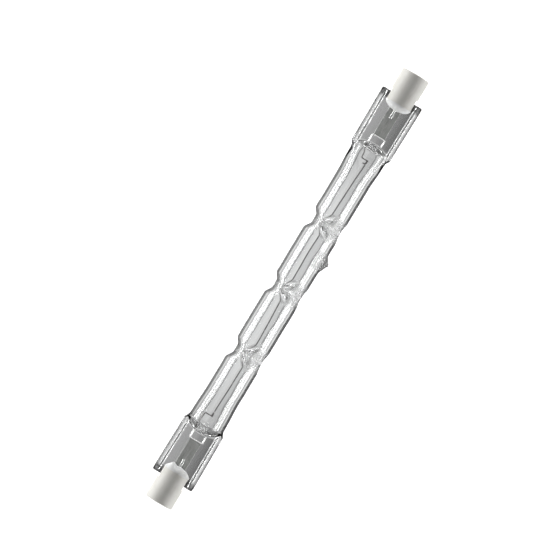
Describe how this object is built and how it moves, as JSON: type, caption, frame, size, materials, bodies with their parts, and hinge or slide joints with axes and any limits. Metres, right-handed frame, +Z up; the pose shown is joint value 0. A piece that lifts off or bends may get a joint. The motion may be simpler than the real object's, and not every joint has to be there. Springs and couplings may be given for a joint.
{
  "type": "linear halogen bulb",
  "caption": "Clear linear halogen bulb with a straight coil filament, pinched tube supports, flat sealed ends and white ceramic caps with recessed contacts",
  "frame": {"origin": "on the floor under the middle of the lamp, which lies on its tube with the flat ends level", "axes": "+X along the tube towards one cap, +Z up, square to the flat sealed ends, and +Y across the tube, away from the exhaust tip"},
  "size_m": [0.1176, 0.0111, 0.0087],
  "materials": {
    "clear_quartz": "clear, polished, with smooth drawn surfaces",
    "tungsten": "dark grey drawn wire",
    "molybdenum_wire": "grey drawn wire",
    "molybdenum_foil": "satin grey thin foil",
    "white_ceramic": "white unglazed ceramic, slightly rough",
    "white_cement": "white dry cement, rough",
    "nickel_contact": "dull nickel"
  },
  "bodies": {
    "root": {"quartz_envelope": "clear_quartz", "tungsten_filament": "tungsten", "inner_lead_left": "molybdenum_wire", "molybdenum_foil_left": "molybdenum_foil", "outer_lead_left": "molybdenum_wire", "ceramic_cap_left": "white_ceramic", "cap_cement_left": "white_cement", "contact_button_left": "nickel_contact", "inner_lead_right": "molybdenum_wire", "molybdenum_foil_right": "molybdenum_foil", "outer_lead_right": "molybdenum_wire", "ceramic_cap_right": "white_ceramic", "cap_cement_right": "white_cement", "contact_button_right": "nickel_contact"}
  },
  "joints": []
}
